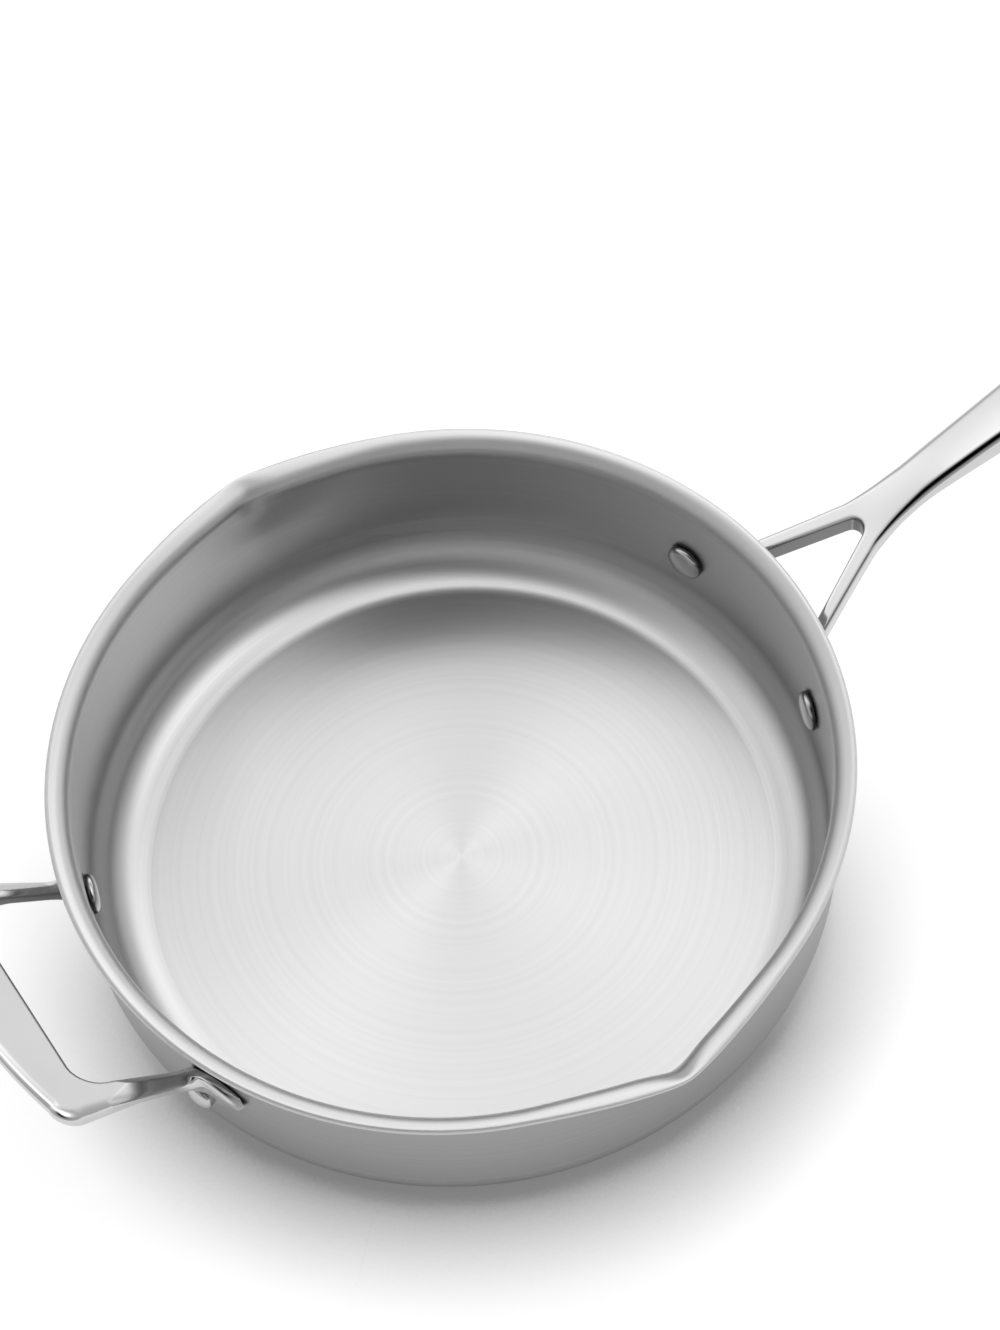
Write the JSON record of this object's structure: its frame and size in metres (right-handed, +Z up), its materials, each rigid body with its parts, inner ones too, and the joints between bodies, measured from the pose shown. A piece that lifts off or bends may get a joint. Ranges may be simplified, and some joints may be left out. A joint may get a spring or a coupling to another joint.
{
  "type": "saute pan",
  "caption": "Round straight-walled clad saute pan with opposite pouring spouts, a flared lip, a riveted forked long handle and a riveted helper loop.",
  "frame": {"origin": "middle of the round base, on its flat underside", "axes": "+Z up along the pan's axis, +X along the long handle, the helper handle along -X, the pouring spouts along +Y and -Y"},
  "size_m": [0.4896, 0.267, 0.1068],
  "materials": {
    "cooking_steel": "satin, fine circular brushing on the floor",
    "core_aluminium": "rolled, seen only as a thin line on the lip's edge",
    "outer_steel": "satin",
    "handle_steel": "polished casting",
    "rivet_steel": "polished dome"
  },
  "bodies": {
    "root": {"inner_lining": "cooking_steel", "aluminium_core": "core_aluminium", "outer_shell": "outer_steel", "long_handle": "handle_steel", "helper_handle": "handle_steel", "long_handle_rivet_left": "rivet_steel", "long_handle_rivet_right": "rivet_steel", "helper_handle_rivet_left": "rivet_steel", "helper_handle_rivet_right": "rivet_steel"}
  },
  "joints": []
}
